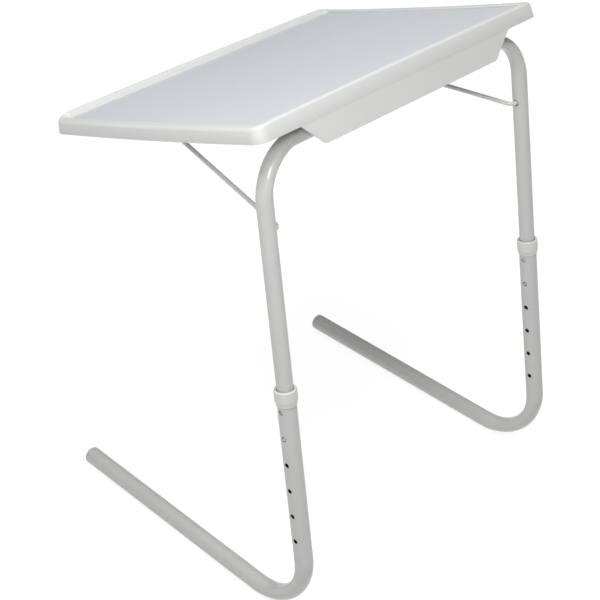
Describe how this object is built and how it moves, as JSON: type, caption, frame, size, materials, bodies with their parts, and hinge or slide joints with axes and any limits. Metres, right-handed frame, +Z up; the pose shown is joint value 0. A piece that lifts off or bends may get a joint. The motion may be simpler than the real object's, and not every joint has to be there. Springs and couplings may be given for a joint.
{
  "type": "folding tray table",
  "caption": "Portable C-leg tray table on a tube frame, its lipped top tilting like a drawing board, with telescopic legs, snap buttons and a folding support wire.",
  "frame": {"origin": "centre of the bounding box on the floor", "axes": "+Z up, -Y towards the user and the tips of the feet, +X to the right of the user"},
  "size_m": [0.5354, 0.4876, 0.7037],
  "materials": {
    "spring_steel_left": "plain",
    "spring_steel_right": "plain",
    "clip_screw_zinc_left_back": "zinc plated",
    "clip_screw_zinc_left_front": "zinc plated",
    "clip_screw_zinc_right_back": "zinc plated",
    "clip_screw_zinc_right_front": "zinc plated",
    "cap_plastic_left": "satin",
    "cap_plastic_right": "satin",
    "collar_plastic_left": "satin",
    "collar_plastic_right": "satin",
    "leg_paint_left": "gloss paint",
    "leg_paint_right": "gloss paint",
    "rack_plastic_left": "satin",
    "rack_plastic_right": "satin",
    "clip_plastic_left": "satin",
    "clip_plastic_right": "satin",
    "rack_screw_zinc_left_back": "zinc plated",
    "rack_screw_zinc_left_front": "zinc plated",
    "rack_screw_zinc_right_back": "zinc plated",
    "rack_screw_zinc_right_front": "zinc plated",
    "button_steel_left": "polished",
    "button_steel_right": "polished",
    "wire_paint": "gloss paint",
    "sheet_plastic": "fine matte",
    "tray_plastic": "satin",
    "frame_paint": "gloss paint"
  },
  "bodies": {
    "frame": {"upper_frame": "frame_paint", "button_spring_left": "spring_steel_left", "button_spring_right": "spring_steel_right"},
    "table": {"table_top": "tray_plastic", "surface_sheet": "sheet_plastic", "pivot_clip_left": "clip_plastic_left", "notch_rack_left": "rack_plastic_left", "clip_screw_left_front": "clip_screw_zinc_left_front", "clip_screw_left_back": "clip_screw_zinc_left_back", "rack_screw_left_front": "rack_screw_zinc_left_front", "rack_screw_left_back": "rack_screw_zinc_left_back", "pivot_clip_right": "clip_plastic_right", "notch_rack_right": "rack_plastic_right", "clip_screw_right_front": "clip_screw_zinc_right_front", "clip_screw_right_back": "clip_screw_zinc_right_back", "rack_screw_right_front": "rack_screw_zinc_right_front", "rack_screw_right_back": "rack_screw_zinc_right_back"},
    "wire": {"support_wire": "wire_paint"},
    "collar_right": {"leg_collar_right": "collar_plastic_right"},
    "leg_right": {"leg_tube_right": "leg_paint_right", "foot_cap_right": "cap_plastic_right"},
    "button_right": {"snap_button_right": "button_steel_right"},
    "collar_left": {"leg_collar_left": "collar_plastic_left"},
    "leg_left": {"leg_tube_left": "leg_paint_left", "foot_cap_left": "cap_plastic_left"},
    "button_left": {"snap_button_left": "button_steel_left"}
  },
  "joints": [
    {"name": "table_tilt", "type": "hinge", "parent": "frame", "child": "table", "pos_m": [0, 0.10586, 0.66131], "axis": [-1, 0, 0], "range_deg": [-78.3, 21.39]},
    {"name": "wire_fold", "type": "hinge", "parent": "frame", "child": "wire", "pos_m": [0, 0.12793, 0.56358], "axis": [-1, 0, 0], "range_deg": [-97.59, 27.02]},
    {"name": "leg_slide_right", "type": "slide", "parent": "frame", "child": "collar_right", "axis": [-0.0142, -0.2202, 0.9754], "range_m": [-0.03829, 0.15316], "deforming": ["snap_button_right", "button_spring_right"]},
    {"name": "leg_turn_right", "type": "hinge", "parent": "collar_right", "child": "leg_right", "pos_m": [0.25586, 0.25232, 0.0125], "axis": [0.0142, 0.2202, -0.9754], "range_deg": [0, 84]},
    {"name": "button_press_right", "type": "slide", "parent": "frame", "child": "button_right", "axis": [-0.9989, -0.0409, -0.0237], "range_m": [0, 0.0026], "stiffness_N_per_m": 4000, "springref_m": -0.001, "deforming": ["button_spring_right"]},
    {"name": "leg_slide_left", "type": "slide", "parent": "frame", "child": "collar_left", "axis": [0.0142, -0.2202, 0.9754], "range_m": [-0.03829, 0.15316], "deforming": ["snap_button_left", "button_spring_left"]},
    {"name": "leg_turn_left", "type": "hinge", "parent": "collar_left", "child": "leg_left", "pos_m": [-0.25586, 0.25232, 0.0125], "axis": [0.0142, -0.2202, 0.9754], "range_deg": [0, 96]},
    {"name": "button_press_left", "type": "slide", "parent": "frame", "child": "button_left", "axis": [-0.9969, -0.0782, -0.0032], "range_m": [0, 0.0026], "stiffness_N_per_m": 4000, "springref_m": -0.001, "deforming": ["button_spring_left"]}
  ],
  "couplings": [
    {"joint": "wire_fold", "follows": "table_tilt", "ratio": 1.24}
  ]
}
